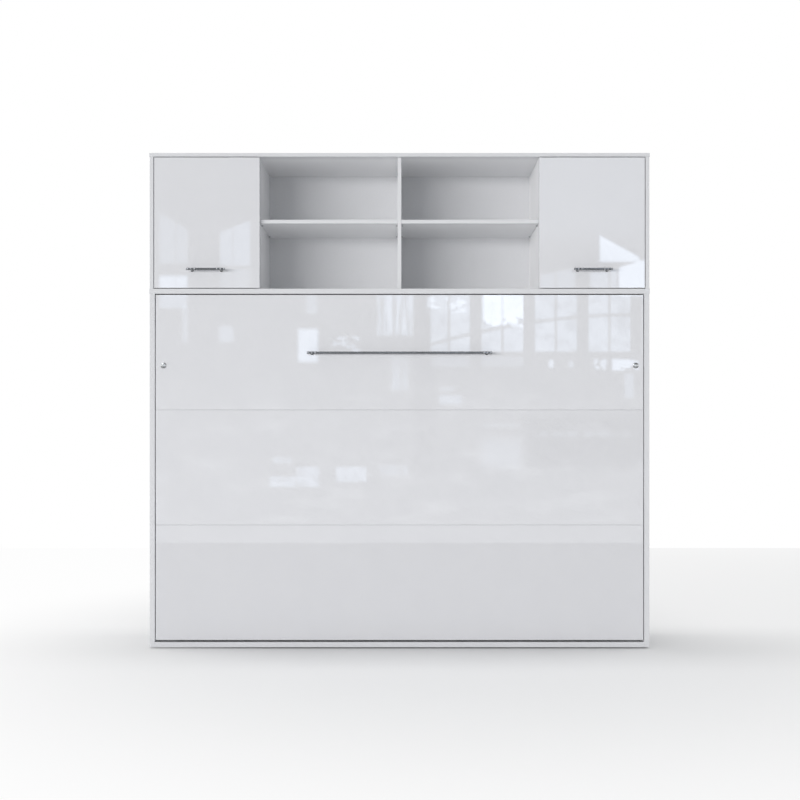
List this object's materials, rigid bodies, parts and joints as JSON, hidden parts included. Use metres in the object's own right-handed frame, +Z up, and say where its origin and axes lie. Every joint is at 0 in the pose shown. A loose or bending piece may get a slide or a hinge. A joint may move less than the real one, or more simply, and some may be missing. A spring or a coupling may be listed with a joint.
{
  "type": "wall bed",
  "caption": "Horizontal fold-down wall bed in white gloss with an overhead hutch of open shelves and lift-up flaps, bar handles and pull-out legs.",
  "frame": {"origin": "on the floor, under the middle of the closed bed's bounding box", "axes": "+X along the bed to the right seen from the front, +Y to the wall behind, +Z up"},
  "size_m": [2.154, 0.417, 2.133],
  "materials": {
    "gloss_front": "white high-gloss lacquer on fibreboard",
    "white_board": "white melamine on chipboard, satin",
    "back_sheet": "white painted thin hardboard",
    "chrome": "polished chrome plate",
    "frame_paint": "silver-grey powder coat",
    "zinc_steel": "zinc-plated steel",
    "spring_tube": "black painted steel tube",
    "spring_rod": "ground and polished piston rod",
    "slat_wood": "clear lacquered birch ply",
    "black_plastic": "moulded black plastic",
    "bush_plastic": "natural nylon",
    "mattress_cover": "quilted knitted cover",
    "strap_webbing": "woven elastic webbing"
  },
  "bodies": {
    "cabinet": {"bed_side_left": "white_board", "bed_side_right": "white_board", "bed_bottom_board": "white_board", "bed_top_board": "white_board", "rear_rails": "white_board", "floor_glides": "black_plastic", "hutch_side_left": "white_board", "hutch_side_right": "white_board", "hutch_top_board": "white_board", "hutch_back_panel": "back_sheet", "hutch_partition_left": "white_board", "hutch_partition_right": "white_board", "hutch_divider": "white_board", "hutch_shelf_left": "white_board", "hutch_shelf_right": "white_board", "shelf_pins": "zinc_steel", "pivot_plate_left": "zinc_steel", "pivot_plate_right": "zinc_steel", "pivot_pins": "zinc_steel", "front_stops": "black_plastic", "flap_hinge_fixed_leaves": "zinc_steel", "flap_hinge_pins": "zinc_steel", "strut_studs": "zinc_steel"},
    "bed": {"front_board_lower": "gloss_front", "front_board_middle": "gloss_front", "front_board_upper": "gloss_front", "bed_handle_bar": "chrome", "bed_handle_posts": "chrome", "frame_rail_lower": "frame_paint", "frame_rail_centre": "frame_paint", "frame_rail_upper": "frame_paint", "frame_ends": "frame_paint", "frame_cross_tubes": "frame_paint", "slats_lower_row": "slat_wood", "slats_upper_row": "slat_wood", "slat_holders": "black_plastic", "mattress": "mattress_cover", "mattress_straps": "strap_webbing", "pivot_bracket_left": "zinc_steel", "pivot_bracket_right": "zinc_steel", "pivot_bushes": "bush_plastic", "leg_guides": "frame_paint"},
    "leg_pair": {"legs": "chrome", "leg_caps": "chrome"},
    "spring_tubes": {"gas_cylinders": "spring_tube"},
    "spring_pistons": {"gas_rods": "spring_rod"},
    "flap_left": {"flap_door_left": "gloss_front", "flap_handle_bar_left": "chrome", "flap_handle_posts_left": "chrome", "flap_hinge_leaves_left": "zinc_steel", "flap_strut_bracket_left": "zinc_steel"},
    "strut_tube_left": {"strut_cylinder_left": "spring_tube"},
    "strut_piston_left": {"strut_rod_left": "spring_rod"},
    "flap_right": {"flap_door_right": "gloss_front", "flap_handle_bar_right": "chrome", "flap_handle_posts_right": "chrome", "flap_hinge_leaves_right": "zinc_steel", "flap_strut_bracket_right": "zinc_steel"},
    "strut_tube_right": {"strut_cylinder_right": "spring_tube"},
    "strut_piston_right": {"strut_rod_right": "spring_rod"}
  },
  "joints": [
    {"name": "bed_fold", "type": "hinge", "parent": "cabinet", "child": "bed", "pos_m": [0, -0.1235, 0.287], "axis": [1, 0, 0], "range_deg": [0, 90]},
    {"name": "leg_drop", "type": "slide", "parent": "bed", "child": "leg_pair", "axis": [0, -1, 0], "range_m": [0, 0.23317]},
    {"name": "spring_tilt", "type": "hinge", "parent": "cabinet", "child": "spring_tubes", "pos_m": [1.031, -0.0035, 0.617], "axis": [1, 0, 0], "range_deg": [0, 9.34]},
    {"name": "spring_stroke", "type": "slide", "parent": "spring_tubes", "child": "spring_pistons", "axis": [0, -0.2534, -0.9674], "range_m": [-0.11299, 0]},
    {"name": "flap_lift_left", "type": "hinge", "parent": "cabinet", "child": "flap_left", "pos_m": [-0.829, -0.171, 2.1155], "axis": [-1, 0, 0], "range_deg": [0, 90]},
    {"name": "strut_tilt_left", "type": "hinge", "parent": "cabinet", "child": "strut_tube_left", "pos_m": [-1.046, 0.069, 2.0155], "axis": [1, 0, 0], "range_deg": [-6.12, 0]},
    {"name": "strut_stroke_left", "type": "slide", "parent": "strut_tube_left", "child": "strut_piston_left", "axis": [0, -0.9953, 0.0966], "range_m": [0, 0.12001]},
    {"name": "flap_lift_right", "type": "hinge", "parent": "cabinet", "child": "flap_right", "pos_m": [0.829, -0.171, 2.1155], "axis": [-1, 0, 0], "range_deg": [0, 90]},
    {"name": "strut_tilt_right", "type": "hinge", "parent": "cabinet", "child": "strut_tube_right", "pos_m": [1.046, 0.069, 2.0155], "axis": [1, 0, 0], "range_deg": [-6.12, 0]},
    {"name": "strut_stroke_right", "type": "slide", "parent": "strut_tube_right", "child": "strut_piston_right", "axis": [0, -0.9953, 0.0966], "range_m": [0, 0.12001]}
  ],
  "couplings": [
    {"joint": "leg_drop", "follows": "bed_fold", "m_per_rad": 0.14814},
    {"joint": "spring_tilt", "follows": "bed_fold", "ratio": 0.10356},
    {"joint": "spring_stroke", "follows": "bed_fold", "m_per_rad": -0.071787},
    {"joint": "strut_tilt_left", "follows": "flap_lift_left", "ratio": -0.067872},
    {"joint": "strut_stroke_left", "follows": "flap_lift_left", "m_per_rad": 0.076246},
    {"joint": "strut_tilt_right", "follows": "flap_lift_right", "ratio": -0.067872},
    {"joint": "strut_stroke_right", "follows": "flap_lift_right", "m_per_rad": 0.076246}
  ]
}
